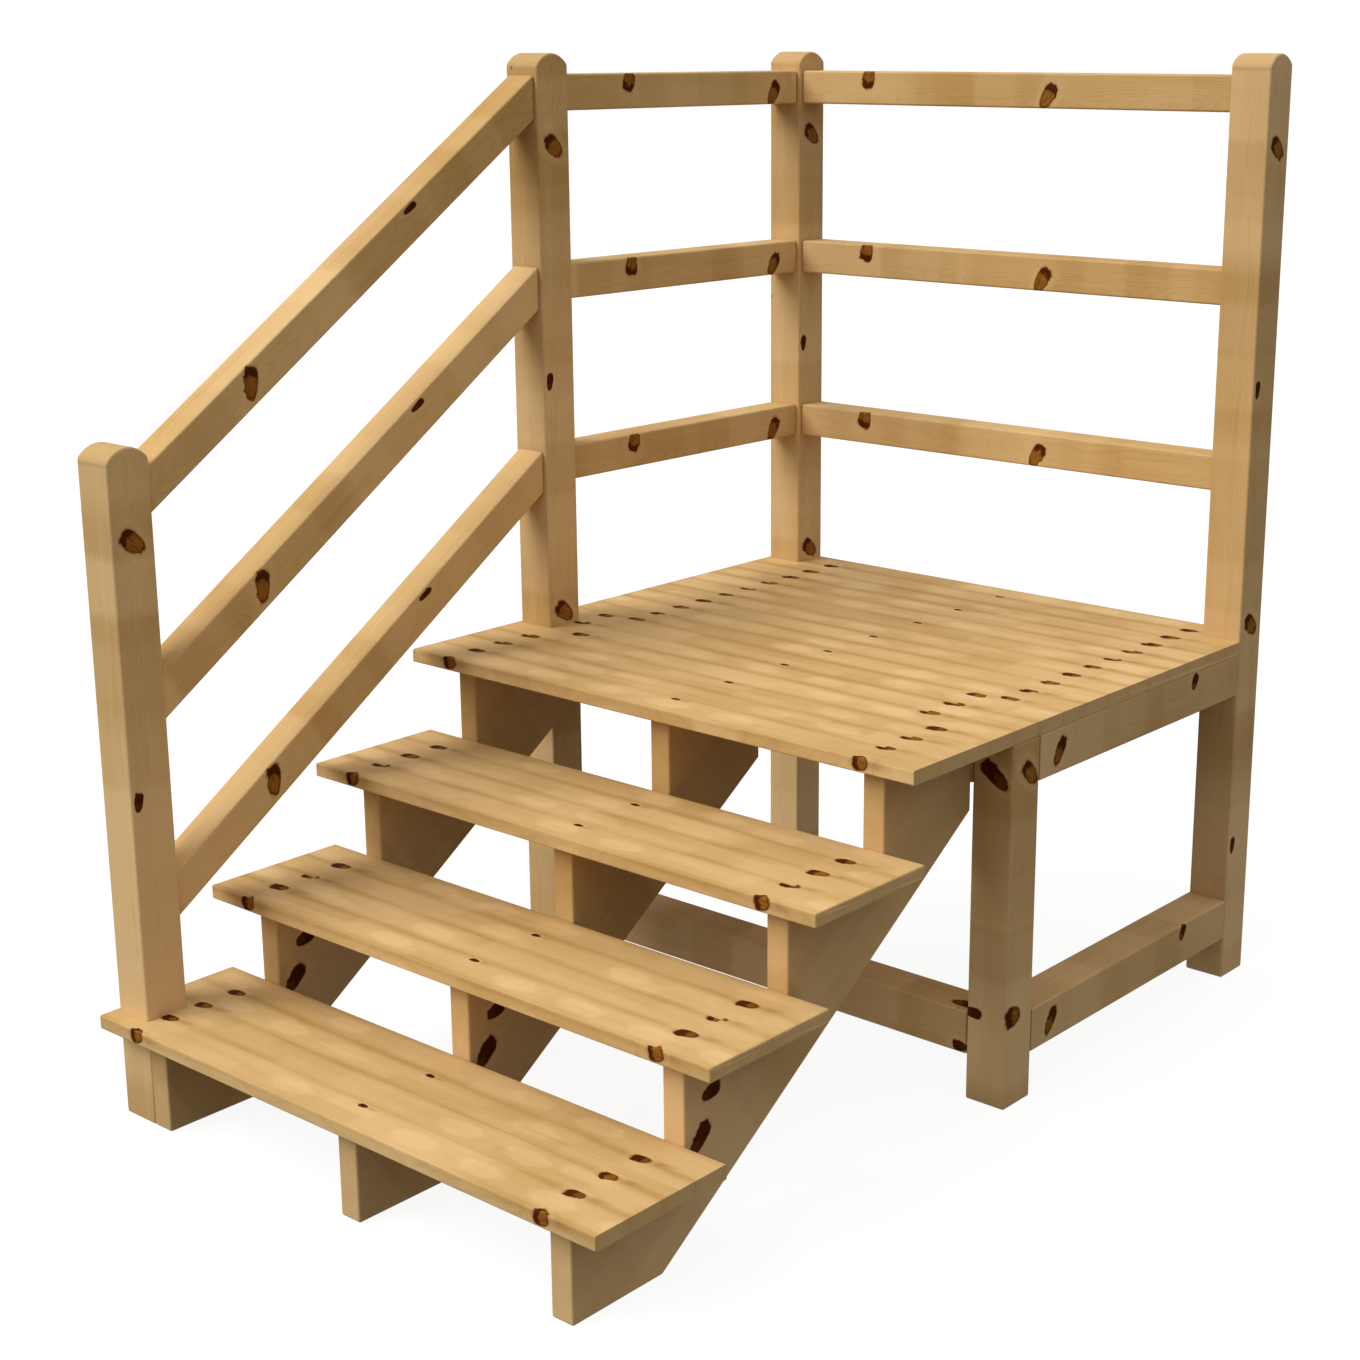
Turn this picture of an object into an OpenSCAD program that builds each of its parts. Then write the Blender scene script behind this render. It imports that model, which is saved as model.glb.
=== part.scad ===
// Timber deck stairs: three open treads and a railed platform, free-standing.
// X runs across the stair, Y climbs towards the platform, Z is up, ground is z = 0.
// The origin is on the ground, at the middle of the whole stair's plan.

/* [Overall] */
// Width across the treads and the platform
stair_w = 1200; // [900:10:1600]
// Depth of the platform from its front edge to its back edge
platform_depth = 1155; // [900:5:1600]

/* [Steps] */
// Height of every riser cut, so also the rise from each tread to the next
rise = 170; // [140:1:210]
// Run from one riser cut to the next
going = 250; // [200:1:320]
// How far each tread projects in front of its riser cut
nosing = 37; // [15:1:60]
// Thickness of the treads and of the deck
board_t = 26; // [20:1:45]

/* [Stringers] */
// Thickness of each stringer
stringer_t = 45; // [32:1:60]
// Timber left square to the slope, behind the step cuts
stringer_throat = 111; // [70:1:160]
// How far the middle stringer stands to the right of the two outer ones' middle
middle_stringer_shift = 10; // [0:1:60]
// Gap between the right stringer and the leg beside it
stringer_leg_gap = 3; // [2:1:30]

/* [Posts] */
// Side of every square post and of the leg
post = 83; // [60:1:120]
// Height of the lower post above the lowest tread
lower_post_above = 1002; // [800:1:1200]
// Height of the platform posts above the deck
post_above = 1112; // [900:1:1300]
// Height of the round at the top of each post
post_round = 23; // [5:1:28]
// How far the treads and the deck project past the left posts
side_lap = 5; // [4:1:40]
// Clearance between a post and the notch cut round it
notch_clearance = 0.3; // [0:0.1:3]

/* [Guard rails] */
// Height of a rail's section
rail_h = 68; // [45:1:110]
// Thickness of a rail
rail_t = 67; // [30:1:80]
// Depth of the top rail below the top of its posts
top_rail_drop = 39; // [25:1:120]
// Height of the lowest platform rail's top above the deck
deck_rail_low = 357; // [250:1:500]
// Height of the lowest stair rail's top above the lowest tread, at the lower post
stair_rail_low = 247; // [200:1:350]

/* [Platform frame] */
// Height of the joists under the deck
joist_h = 84; // [70:1:180]
// Thickness of the middle joist and of the joists between the posts
joist_t = 83; // [40:1:100]
// Height of the lower rails near the ground
lower_rail_h = 83; // [50:1:120]
// Height of the lower rails' underside above the ground
lower_rail_z = 85; // [40:1:200]

/* [Hidden] */
$fn = 96;

treads = 3;
rails = 3;
top_board_colour = "burlywood";
frame_colour = "tan";
post_colour = "wheat";
rail_colour = "navajowhite";

// Heights, each found from the rises
deck_under = (treads + 1) * rise;
deck_top = deck_under + board_t;
joist_z = deck_under - joist_h;
lower_post_top = rise + board_t + lower_post_above;
post_top = deck_top + post_above;

// Places along the climb: riser cuts start a nosing behind each tread's front edge
tread_depth = going + nosing;
platform_back = (treads * going + platform_depth) / 2;
platform_y = platform_back - platform_depth;
front_y = -platform_back;
first_cut_y = front_y + nosing;
frame_front = platform_y + tread_depth;
frame_rear = platform_back - post;
frame_gap = frame_rear - frame_front - post;

// Places across the stair
left_x = -stair_w / 2;
right_x = stair_w / 2;
post_x = left_x + side_lap;
inner_left = post_x + post;
inner_right = right_x - post;
frame_span = inner_right - inner_left;
left_stringer_x = inner_left;
right_stringer_x = inner_right - stringer_leg_gap - stringer_t;
middle_stringer_x = (left_stringer_x + right_stringer_x) / 2 + middle_stringer_shift;
middle_joist_x = inner_left + (frame_span - joist_t) / 2;

// The underside of a stringer is a straight line that leaves the throat square to the slope
pitch_angle = atan(rise / going);
throat_drop = stringer_throat / cos(pitch_angle);
toe_y = first_cut_y + going - (rise - throat_drop) * going / rise;
heel_z = (frame_front - toe_y) * rise / going;

// A block of timber from its lowest corner
module timber(corner, size) {
    translate(corner) cube(size);
}

// A flat outline in Y and Z, given thickness along X
module sawn_outline(x, thickness) {
    translate([x, 0, 0]) rotate([90, 0, 90]) linear_extrude(thickness) children();
}

// Stringer: vertical and level step cuts above, one straight edge below
module stringer(x) {
    steps = [for (i = [0:treads - 1])
        each [[first_cut_y + i * going, (i + 1) * rise],
            [first_cut_y + (i + 1) * going, (i + 1) * rise]]];
    sawn_outline(x, stringer_t) polygon(concat([[first_cut_y, 0]], steps,
        [[first_cut_y + treads * going, deck_under], [frame_front, deck_under],
            [frame_front, heel_z], [toe_y, 0]]));
}

// Post with a rounded top: the round is seen from the side, so it runs across the post
module post_at(x, y, height) {
    round_r = (pow(post / 2, 2) + pow(post_round, 2)) / (2 * post_round);
    sawn_outline(x, post) translate([y, 0]) {
        square([post, height - post_round]);
        intersection() {
            translate([0, height - post_round]) square([post, post_round]);
            translate([post / 2, height - round_r]) circle(r = round_r);
        }
    }
}

// Notch through a board for one post
module post_notch(x, y, z) {
    side = post + 2 * notch_clearance;
    translate([x - notch_clearance, y - notch_clearance, z - 1]) cube([side, side, board_t + 2]);
}

// Tread: the lowest one is notched round the lower post
module tread(step) {
    z = (step + 1) * rise;
    difference() {
        timber([left_x, front_y + step * going, z], [stair_w, tread_depth, board_t]);
        if (step == 0) post_notch(post_x, first_cut_y, z);
    }
}

// Height of the top of a rail at a post, counted from the highest down: evenly spaced to the lowest
function rail_top(level, top, above, lowest) =
    top - top_rail_drop - level * (above - top_rail_drop - lowest) / (rails - 1);
function deck_rail_top(level) = rail_top(level, post_top, post_above, deck_rail_low);
function stair_rail_top_z(level) =
    rail_top(level, lower_post_top, lower_post_above, stair_rail_low);

// Rail across the back, centred on the posts' depth
module back_rail(level) {
    timber([inner_left, frame_rear + (post - rail_t) / 2, deck_rail_top(level) - rail_h],
        [frame_span, rail_t, rail_h]);
}

// Rail along the left side, centred on the posts' width
module left_rail(level) {
    timber([post_x + (post - rail_t) / 2, frame_front + post, deck_rail_top(level) - rail_h],
        [rail_t, frame_gap, rail_h]);
}

// Sloping rail between the lower post and the platform's front left post, ends cut plumb
module stair_rail(level) {
    y0 = first_cut_y + post;
    z0 = stair_rail_top_z(level);
    z1 = deck_rail_top(level);
    slope = (z1 - z0) / (frame_front - y0);
    plumb_h = rail_h * sqrt(1 + slope * slope);
    sawn_outline(post_x + (post - rail_t) / 2, rail_t) polygon([[y0, z0 - plumb_h], [y0, z0],
        [frame_front, z1], [frame_front, z1 - plumb_h]]);
}

module left_stringer() { color(frame_colour) stringer(left_stringer_x); }
module middle_stringer() { color(frame_colour) stringer(middle_stringer_x); }
module right_stringer() { color(frame_colour) stringer(right_stringer_x); }

module lower_tread() { color(top_board_colour) tread(0); }
module middle_tread() { color(top_board_colour) tread(1); }
module upper_tread() { color(top_board_colour) tread(2); }

// Deck: notched round the posts that pass through it
module platform_deck() {
    color(top_board_colour) difference() {
        timber([left_x, platform_y, deck_under], [stair_w, platform_depth, board_t]);
        post_notch(post_x, frame_front, deck_under);
        post_notch(post_x, frame_rear, deck_under);
        post_notch(inner_right, frame_rear, deck_under);
    }
}

module lower_post() { color(post_colour) post_at(post_x, first_cut_y, lower_post_top); }
module front_left_post() { color(post_colour) post_at(post_x, frame_front, post_top); }
module back_left_post() { color(post_colour) post_at(post_x, frame_rear, post_top); }
module back_right_post() { color(post_colour) post_at(inner_right, frame_rear, post_top); }
module front_right_leg() {
    color(post_colour) timber([inner_right, frame_front, 0], [post, post, deck_under]);
}

// Joist across the stair, between two posts
module cross_joist(y) {
    timber([inner_left, y, joist_z], [frame_span, joist_t, joist_h]);
}

// Joist along the side: one thicker than its posts is cut round the ends of the cross joists
module side_joist(x) {
    difference() {
        timber([x, frame_front + post, joist_z], [joist_t, frame_gap, joist_h]);
        if (joist_t > post) cross_joist(frame_front);
        if (joist_t > post) cross_joist(platform_back - joist_t);
    }
}

module front_joist() { color(frame_colour) cross_joist(frame_front); }
module back_joist() { color(frame_colour) cross_joist(platform_back - joist_t); }
module left_joist() { color(frame_colour) side_joist(post_x); }
module right_joist() { color(frame_colour) side_joist(right_x - joist_t); }
module middle_joist() {
    color(frame_colour) timber([middle_joist_x, frame_front + joist_t, joist_z],
        [joist_t, platform_back - frame_front - 2 * joist_t, joist_h]);
}

module front_lower_rail() {
    color(frame_colour) timber([inner_left, frame_front, lower_rail_z],
        [frame_span, post, lower_rail_h]);
}
module right_lower_rail() {
    color(frame_colour) timber([inner_right, frame_front + post, lower_rail_z],
        [post, frame_gap, lower_rail_h]);
}

module stair_rail_top() { color(rail_colour) stair_rail(0); }
module stair_rail_middle() { color(rail_colour) stair_rail(1); }
module stair_rail_bottom() { color(rail_colour) stair_rail(2); }
module left_rail_top() { color(rail_colour) left_rail(0); }
module left_rail_middle() { color(rail_colour) left_rail(1); }
module left_rail_bottom() { color(rail_colour) left_rail(2); }
module back_rail_top() { color(rail_colour) back_rail(0); }
module back_rail_middle() { color(rail_colour) back_rail(1); }
module back_rail_bottom() { color(rail_colour) back_rail(2); }

left_stringer();
middle_stringer();
right_stringer();
lower_tread();
middle_tread();
upper_tread();
platform_deck();
lower_post();
front_left_post();
back_left_post();
back_right_post();
front_right_leg();
front_joist();
back_joist();
left_joist();
right_joist();
middle_joist();
front_lower_rail();
right_lower_rail();
stair_rail_top();
stair_rail_middle();
stair_rail_bottom();
left_rail_top();
left_rail_middle();
left_rail_bottom();
back_rail_top();
back_rail_middle();
back_rail_bottom();
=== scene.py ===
import math

import bpy
import numpy as np
from mathutils.geometry import delaunay_2d_cdt
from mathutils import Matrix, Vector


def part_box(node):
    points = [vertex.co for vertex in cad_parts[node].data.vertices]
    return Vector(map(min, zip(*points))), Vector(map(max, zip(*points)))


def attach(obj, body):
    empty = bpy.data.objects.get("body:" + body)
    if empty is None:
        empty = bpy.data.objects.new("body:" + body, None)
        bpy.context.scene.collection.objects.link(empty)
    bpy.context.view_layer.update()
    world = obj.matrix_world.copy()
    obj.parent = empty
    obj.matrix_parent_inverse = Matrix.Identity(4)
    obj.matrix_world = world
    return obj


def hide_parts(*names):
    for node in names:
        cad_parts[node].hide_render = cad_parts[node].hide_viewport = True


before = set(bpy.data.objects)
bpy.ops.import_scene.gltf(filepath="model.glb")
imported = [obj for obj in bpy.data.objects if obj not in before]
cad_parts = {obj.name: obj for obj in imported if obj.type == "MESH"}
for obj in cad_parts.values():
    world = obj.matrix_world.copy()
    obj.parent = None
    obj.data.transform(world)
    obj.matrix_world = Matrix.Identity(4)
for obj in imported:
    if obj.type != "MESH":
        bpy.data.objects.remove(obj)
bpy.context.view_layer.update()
rng = np.random.default_rng(11)
print("stage: frame loaded")

# camera, light and floor
cameraSettings = {
    "place": (2.6716, -3.0500, 1.8374),
    "tiltDown": 0.26267, "turn": 0.69685,      # radians
    "lens": 60.71, "shiftX": -0.06277, "shiftY": -0.01544,
}
cameraData = bpy.data.cameras.new("camera")
camera = bpy.data.objects.new("camera", cameraData)
bpy.context.scene.collection.objects.link(camera)
camera.location = cameraSettings["place"]
camera.rotation_euler = (math.pi / 2 - cameraSettings["tiltDown"], 0, cameraSettings["turn"])
cameraData.sensor_width = 36
cameraData.lens = cameraSettings["lens"]
cameraData.shift_x = cameraSettings["shiftX"]
cameraData.shift_y = cameraSettings["shiftY"]
cameraData.clip_end = 200
bpy.context.scene.camera = camera

lightSettings = {
    "keyStrength": 2.15, "keyColour": (1.0, 0.99, 0.965),
    "keySoftness": 40, "keyTurn": -32, "keyHeight": 42,      # degrees
    "skyEven": 0.17, "skyTop": 0.80,                         # from everywhere, and what the zenith adds
    "floorGlow": 0.91, "floorWhite": 0.15, "floorHalf": 40, "floorSink": 0.0005,
}


def addNode(tree, kind, inputs=None, **settings):
    node = tree.nodes.new(kind)
    for key, value in settings.items():
        setattr(node, key, value)
    for key, value in (inputs or {}).items():
        if isinstance(value, bpy.types.NodeSocket):
            tree.links.new(value, node.inputs[key])
        else:
            node.inputs[key].default_value = value
    return node


def makeStudio():
    scene = bpy.context.scene
    scene.view_settings.view_transform = "Standard"
    scene.view_settings.look = "None"
    world = bpy.data.worlds.new("studio")
    scene.world = world
    world.use_nodes = True
    tree = world.node_tree
    tree.nodes.clear()
    # sky: white to the eye; as light it is even, plus a share that grows from the horizon up
    place = addNode(tree, "ShaderNodeTexCoord")
    parts = addNode(tree, "ShaderNodeSeparateXYZ", {0: place.outputs["Generated"]})
    grown = addNode(tree, "ShaderNodeMapRange", {
        "Value": parts.outputs["Z"], "From Min": 0.0, "From Max": 1.0,
        "To Min": lightSettings["skyEven"], "To Max": lightSettings["skyEven"] + lightSettings["skyTop"]})
    ray = addNode(tree, "ShaderNodeLightPath")
    amount = addNode(tree, "ShaderNodeMix", {0: ray.outputs["Is Camera Ray"], 2: grown.outputs[0], 3: 1.0})
    glow = addNode(tree, "ShaderNodeBackground", {"Color": (1, 1, 1, 1), "Strength": amount.outputs[0]})
    addNode(tree, "ShaderNodeOutputWorld", {"Surface": glow.outputs[0]})
    sun = bpy.data.lights.new("key", "SUN")
    sun.energy = lightSettings["keyStrength"]
    sun.angle = math.radians(lightSettings["keySoftness"])
    sun.color = lightSettings["keyColour"]
    key = bpy.data.objects.new("key", sun)
    key.rotation_euler = (math.radians(90 - lightSettings["keyHeight"]), 0,
                          math.radians(lightSettings["keyTurn"]))
    scene.collection.objects.link(key)


def makeFloor():
    mesh = bpy.data.meshes.new("floor")
    half = lightSettings["floorHalf"]
    corners = [(-half, -half, 0), (half, -half, 0), (half, half, 0), (-half, half, 0)]
    mesh.from_pydata(corners, [], [(0, 1, 2, 3)])
    floor = bpy.data.objects.new("floor", mesh)
    bpy.context.scene.collection.objects.link(floor)
    floor.location.z = -lightSettings["floorSink"]
    material = bpy.data.materials.new("paleFloor")
    material.use_nodes = True
    tree = material.node_tree
    tree.nodes.clear()
    white = addNode(tree, "ShaderNodeBsdfDiffuse", {"Color": (*[lightSettings["floorWhite"]] * 3, 1)})
    glow = addNode(tree, "ShaderNodeEmission", {"Color": (1, 1, 1, 1),
                                                "Strength": lightSettings["floorGlow"]})
    both = addNode(tree, "ShaderNodeAddShader", {0: white.outputs[0], 1: glow.outputs[0]})
    addNode(tree, "ShaderNodeOutputMaterial", {"Surface": both.outputs[0]})
    mesh.materials.append(material)
    floor.visible_diffuse = False
    floor.visible_glossy = False
    return floor


makeStudio()
makeFloor()
print("stage: camera, light and floor")

# pine
# Each point of a piece carries: grain (along, across, through, in metres, with the piece's own offset),
# knot (place from the nearest knot, in its half lengths and half widths, and how brown its body is) and
# board (strip coordinate, piece tone, share of end grain).
pineSettings = {
    # each wood has its two tones and its roughness, then shares: a knot's tail, tone blocks, pale patches
    # and how dark an end is, as darker end grain and as painted shade on the rims where a rail or joist
    # meets a post
    "boardPine": {"light": (0.765, 0.515, 0.240), "dark": (0.520, 0.310, 0.105), "rough": 0.50,
                  "tail": 0.80, "blocks": 0.70, "patches": 0.30, "endGrainAndShade": 0.06},
    "postPine": {"light": (0.755, 0.510, 0.245), "dark": (0.510, 0.305, 0.108), "rough": 0.52,
                 "tail": 0, "blocks": 1.10, "patches": 0.15, "endGrainAndShade": 0.16},
    "framePine": {"light": (0.735, 0.490, 0.235), "dark": (0.490, 0.295, 0.105), "rough": 0.56,
                  "tail": 0, "blocks": 0.90, "patches": 0.10, "endGrainAndShade": 0.80},
    "railPine": {"light": (0.750, 0.500, 0.230), "dark": (0.510, 0.300, 0.100), "rough": 0.50,
                 "tail": 0, "blocks": 0.95, "patches": 0.15, "endGrainAndShade": 0.70},
    "knotCore": (0.070, 0.012, 0.001), "knotBrown": (0.170, 0.055, 0.006),
    "knotWarm": (0.420, 0.170, 0.022), "knotHalo": (0.380, 0.190, 0.055),
    "pinColour": (0.16, 0.07, 0.025), "hairColour": (0.22, 0.12, 0.05), "endGrainAndShadeColour": (0.300, 0.170, 0.060),
    "blockLong": 0.100, "pieceLong": 0.34, "patchLong": 0.150,      # lengths of one tone, in metres
    "ringWide": 0.0042, "pithDepth": 0.021,
    "knotPower": 2.6,        # 2 is an ellipse, more is squarer
    "bumpHigh": 0.0006, "bumpShare": 0.35, "ior": 1.46, "gloss": 0.06,
}


def makePine(name):
    look = pineSettings[name]
    material = bpy.data.materials.new(name)
    material.use_nodes = True
    tree = material.node_tree
    tree.nodes.clear()

    def calc(kind, *values, clamp=False):
        node = addNode(tree, "ShaderNodeMath", dict(enumerate(values)), operation=kind)
        node.use_clamp = clamp
        return node.outputs[0]

    def plus(first, *others):
        for other in others:
            first = calc("ADD", first, other)
        return first

    def minus(first, other):
        return calc("SUBTRACT", first, other)

    def times(first, *others):
        for other in others:
            first = calc("MULTIPLY", first, other)
        return first

    def span(value, low, high, toLow=0.0, toHigh=1.0, smooth=False):
        node = addNode(tree, "ShaderNodeMapRange", {"Value": value, "From Min": low, "From Max": high,
                                                    "To Min": toLow, "To Max": toHigh})
        if smooth:
            node.interpolation_type = "SMOOTHSTEP"
        return node.outputs[0]

    def rise(value, low, high):
        return span(value, low, high, smooth=True)

    def fall(value, low, high):
        return span(value, low, high, 1.0, 0.0, smooth=True)

    def blend(amount, first, second):
        node = addNode(tree, "ShaderNodeMix", data_type="RGBA", blend_type="MIX")
        for key, value in ((0, amount), (6, first), (7, second)):
            if isinstance(value, bpy.types.NodeSocket):
                tree.links.new(value, node.inputs[key])
            else:
                node.inputs[key].default_value = value if key == 0 else (*value, 1)
        return node.outputs[2]

    def vector(x, y, z):
        return addNode(tree, "ShaderNodeCombineXYZ", {0: x, 1: y, 2: z}).outputs[0]

    def noise(place, scale=1.0, detail=2.0, rough=0.5):
        return addNode(tree, "ShaderNodeTexNoise", {"Vector": place, "Scale": scale, "Detail": detail,
                                                    "Roughness": rough}).outputs[0]

    def drawnOut(alongScale, sideScale, sideways, detail=2.0, rough=0.5):
        # noise with its own scale along the grain and round it
        place = vector(times(along, alongScale), times(sideways, sideScale), times(through, sideScale))
        return noise(place, 1.0, detail, rough)

    def dice(x, y, z):
        # a chance value that is the same all over one cell
        return addNode(tree, "ShaderNodeTexWhiteNoise", {"Vector": vector(x, y, z)},
                       noise_dimensions="3D").outputs[0]

    def split(name):
        attribute = addNode(tree, "ShaderNodeAttribute", attribute_name=name)
        return addNode(tree, "ShaderNodeSeparateXYZ", {0: attribute.outputs["Vector"]}).outputs

    along, across, through = split("grain")
    knotAlong, knotAcross, knotBrown = split("knot")
    strip, tone, endGrain = split("board")

    # a knot is a branch cut slantwise: a blade that narrows to its tip; how far a point lies out is
    # (|along|^p + |across|^p)^(1/p), made uneven by a slow noise
    power = pineSettings["knotPower"]
    wobble = minus(noise(vector(along, across, through), 95.0, 3.0, 0.6), 0.5)
    taper = plus(0.87, times(calc("MINIMUM", knotAlong, 1.0), 0.16))
    bladeAcross = calc("DIVIDE", plus(knotAcross, times(wobble, 0.3)), calc("MAXIMUM", taper, 0.5))
    powers = plus(calc("POWER", calc("ABSOLUTE", knotAlong), power),
                  calc("POWER", calc("ABSOLUTE", bladeAcross), power))
    knotFar = plus(calc("POWER", powers, 1 / power), times(wobble, 0.58))

    # the grain bends aside round a knot
    push = times(calc("EXPONENT", times(knotAlong, knotAlong, -0.20)),
                 calc("EXPONENT", times(knotAcross, knotAcross, -0.16)))
    bentAcross = minus(across, times(calc("SIGN", knotAcross), push, 0.006))

    # growth rings round a pith that wanders slowly along the timber
    wander = noise(vector(times(along, 1.3), across, through), 3.0, 1.0)
    ringX = plus(bentAcross, times(minus(wander, 0.5), 0.05))
    ringY = plus(through, pineSettings["pithDepth"])
    ringFar = calc("SQRT", plus(times(ringX, ringX), times(ringY, ringY)))
    ringFar = plus(ringFar, times(drawnOut(2.0, 14.0, across), 0.012))
    ring = calc("FRACT", calc("DIVIDE", ringFar, pineSettings["ringWide"]))
    late = times(rise(ring, 0.45, 0.92), fall(ring, 0.93, 1.0))

    # fine streaks drawn out along the grain, and slower ones
    fine = drawnOut(5.0, 330.0, bentAcross, 3.0, 0.6)
    slow = drawnOut(3.0, 32.0, bentAcross)

    # a strip is pieced of lengths; gives the place within a length and a chance value for it and the next
    def pieced(rowsEach, length, seed):
        row = calc("FLOOR", times(strip, rowsEach))
        place = plus(calc("DIVIDE", along, length), times(dice(row, seed, 3.1), 5.0))
        which = calc("FLOOR", place)
        return calc("FRACT", place), lambda step: dice(row, plus(which, step), seed)

    # blocks: the tone holds for a length and changes over quickly
    def block(rowsEach, length, seed):
        place, chance = pieced(rowsEach, length, seed)
        change = rise(place, 0.80, 1.0)
        return plus(times(chance(0.0), minus(1.0, change)), times(chance(1.0), change))

    blocks = plus(times(block(2.0, pineSettings["blockLong"], 0.7), 0.45),
                  times(block(1.0, pineSettings["pieceLong"], 5.3), 0.55))

    # pale patches: soft ovals in the middle of a strip, on about half of the places they could take
    place, chance = pieced(1.0, pineSettings["patchLong"], 8.7)
    ovalAlong = calc("DIVIDE", minus(place, 0.5), 0.34)
    ovalAcross = calc("DIVIDE", minus(calc("FRACT", strip), 0.5), 0.30)
    oval = plus(times(ovalAlong, ovalAlong), times(ovalAcross, ovalAcross), times(wobble, 1.2))
    patch = times(fall(oval, 0.45, 1.25), rise(chance(0.0), 0.42, 0.62))

    # strips: a soft darker line where two strips of a board meet, stronger in some stretches
    fromLine = calc("ABSOLUTE", minus(calc("FRACT", strip), 0.5))
    fading = noise(vector(times(along, 2.6), times(across, 3.0), through), 1.0, 1.0)
    line = times(rise(fromLine, 0.27, 0.5), span(fading, 0.36, 0.60, 0.20, 1.0))
    hair = rise(fromLine, 0.488, 0.4985)

    # paleness, from 0 for the dark wood to 1 for the light
    paleness = plus(times(minus(blocks, 0.5), look["blocks"]), 0.57,
                    times(patch, look["patches"]),
                    times(minus(slow, 0.5), 0.45),
                    times(minus(fine, 0.5), 0.30))
    paleness = minus(minus(paleness, times(late, 0.13)), times(line, 0.50))
    paleness = calc("ADD", paleness, tone, clamp=True)
    calmer = times(endGrain, 0.75)
    paleness = plus(times(paleness, minus(1.0, calmer)), times(calmer, 0.6))
    colour = blend(paleness, look["dark"], look["light"])
    colour = blend(times(hair, 0.25), colour, pineSettings["hairColour"])

    # end grain shows the rings and is darker; a rail's or joist's ends meet a post, and on frame and rail
    # pine their rounded rims are pushed much darker with painted shade
    # the end colour is partly real end grain and partly painted contact shade at the joints
    endGrainAndShadeShare = plus(look["endGrainAndShade"], times(late, 0.12))
    colour = blend(times(endGrain, endGrainAndShadeShare), colour, pineSettings["endGrainAndShadeColour"])

    # a board's knot has a darker tail along its strip line, fading out over a few lengths
    if look["tail"]:
        reach = times(rise(knotAlong, -5.0, -0.8), fall(knotAlong, 0.8, 2.2))
        tail = times(calc("EXPONENT", times(knotAcross, knotAcross, -3.0)), reach)
        colour = blend(times(tail, look["tail"]), colour, pineSettings["knotHalo"])
    # round a knot the wood first pales, then browns where it touches
    pale = times(rise(knotFar, 1.0, 1.3), fall(knotFar, 1.4, 2.3))
    colour = blend(times(pale, 0.30), colour, look["light"])
    colour = blend(times(fall(knotFar, 0.98, 1.22), 0.55), colour, pineSettings["knotHalo"])
    # brown body with fibres drawn from head to tip, dark head and dark outline
    body = fall(knotFar, 0.92, 1.06)
    fibre = noise(vector(times(knotAlong, 1.2), times(knotAcross, 5.0), times(along, 9.0)))
    inner = blend(span(fibre, 0.26, 0.80), pineSettings["knotBrown"], pineSettings["knotWarm"])
    inner = blend(minus(1.0, knotBrown), inner, pineSettings["knotCore"])
    colour = blend(body, colour, inner)
    headEdge = plus(knotAlong, times(calc("ABSOLUTE", bladeAcross), 0.35), times(wobble, 1.1))
    headFrom = span(knotBrown, 0.5, 1.0, -0.25, 0.40)
    head = times(rise(minus(headEdge, headFrom), -0.05, 0.25), body)
    rim = times(rise(knotFar, 0.74, 0.90), fall(knotFar, 0.96, 1.08))
    dark = calc("MAXIMUM", times(head, 0.96), times(rim, 0.66))
    colour = blend(dark, colour, pineSettings["knotCore"])

    # pin knots: a few tiny dark specks
    cells = addNode(tree, "ShaderNodeTexVoronoi", {"Vector": vector(times(along, 0.55), across, through),
                                                   "Scale": 14.0})
    cellChance = addNode(tree, "ShaderNodeSeparateColor", {0: cells.outputs["Color"]}).outputs[0]
    pin = times(fall(cells.outputs["Distance"], 0.022, 0.045), span(cellChance, 0.80, 0.82))
    colour = blend(times(pin, 0.7), colour, pineSettings["pinColour"])

    roughness = plus(look["rough"] - 0.06, times(fine, 0.16), times(body, 0.12))
    height = minus(times(fine, 0.35), times(late, 0.5))
    height = minus(minus(height, times(hair, 2.2)), times(rim, 0.8))
    bump = addNode(tree, "ShaderNodeBump", {"Height": height, "Strength": pineSettings["bumpShare"],
                                            "Distance": pineSettings["bumpHigh"]})
    shader = addNode(tree, "ShaderNodeBsdfPrincipled", {"Base Color": colour, "Roughness": roughness,
                                                        "Normal": bump.outputs[0]})
    shader.inputs["IOR"].default_value = pineSettings["ior"]
    shader.inputs["Specular IOR Level"].default_value = pineSettings["gloss"]
    addNode(tree, "ShaderNodeOutputMaterial", {"Surface": shader.outputs[0]})
    return material


pine = {name: makePine(name) for name in ("boardPine", "postPine", "framePine", "railPine")}
print("stage: pine")


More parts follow.
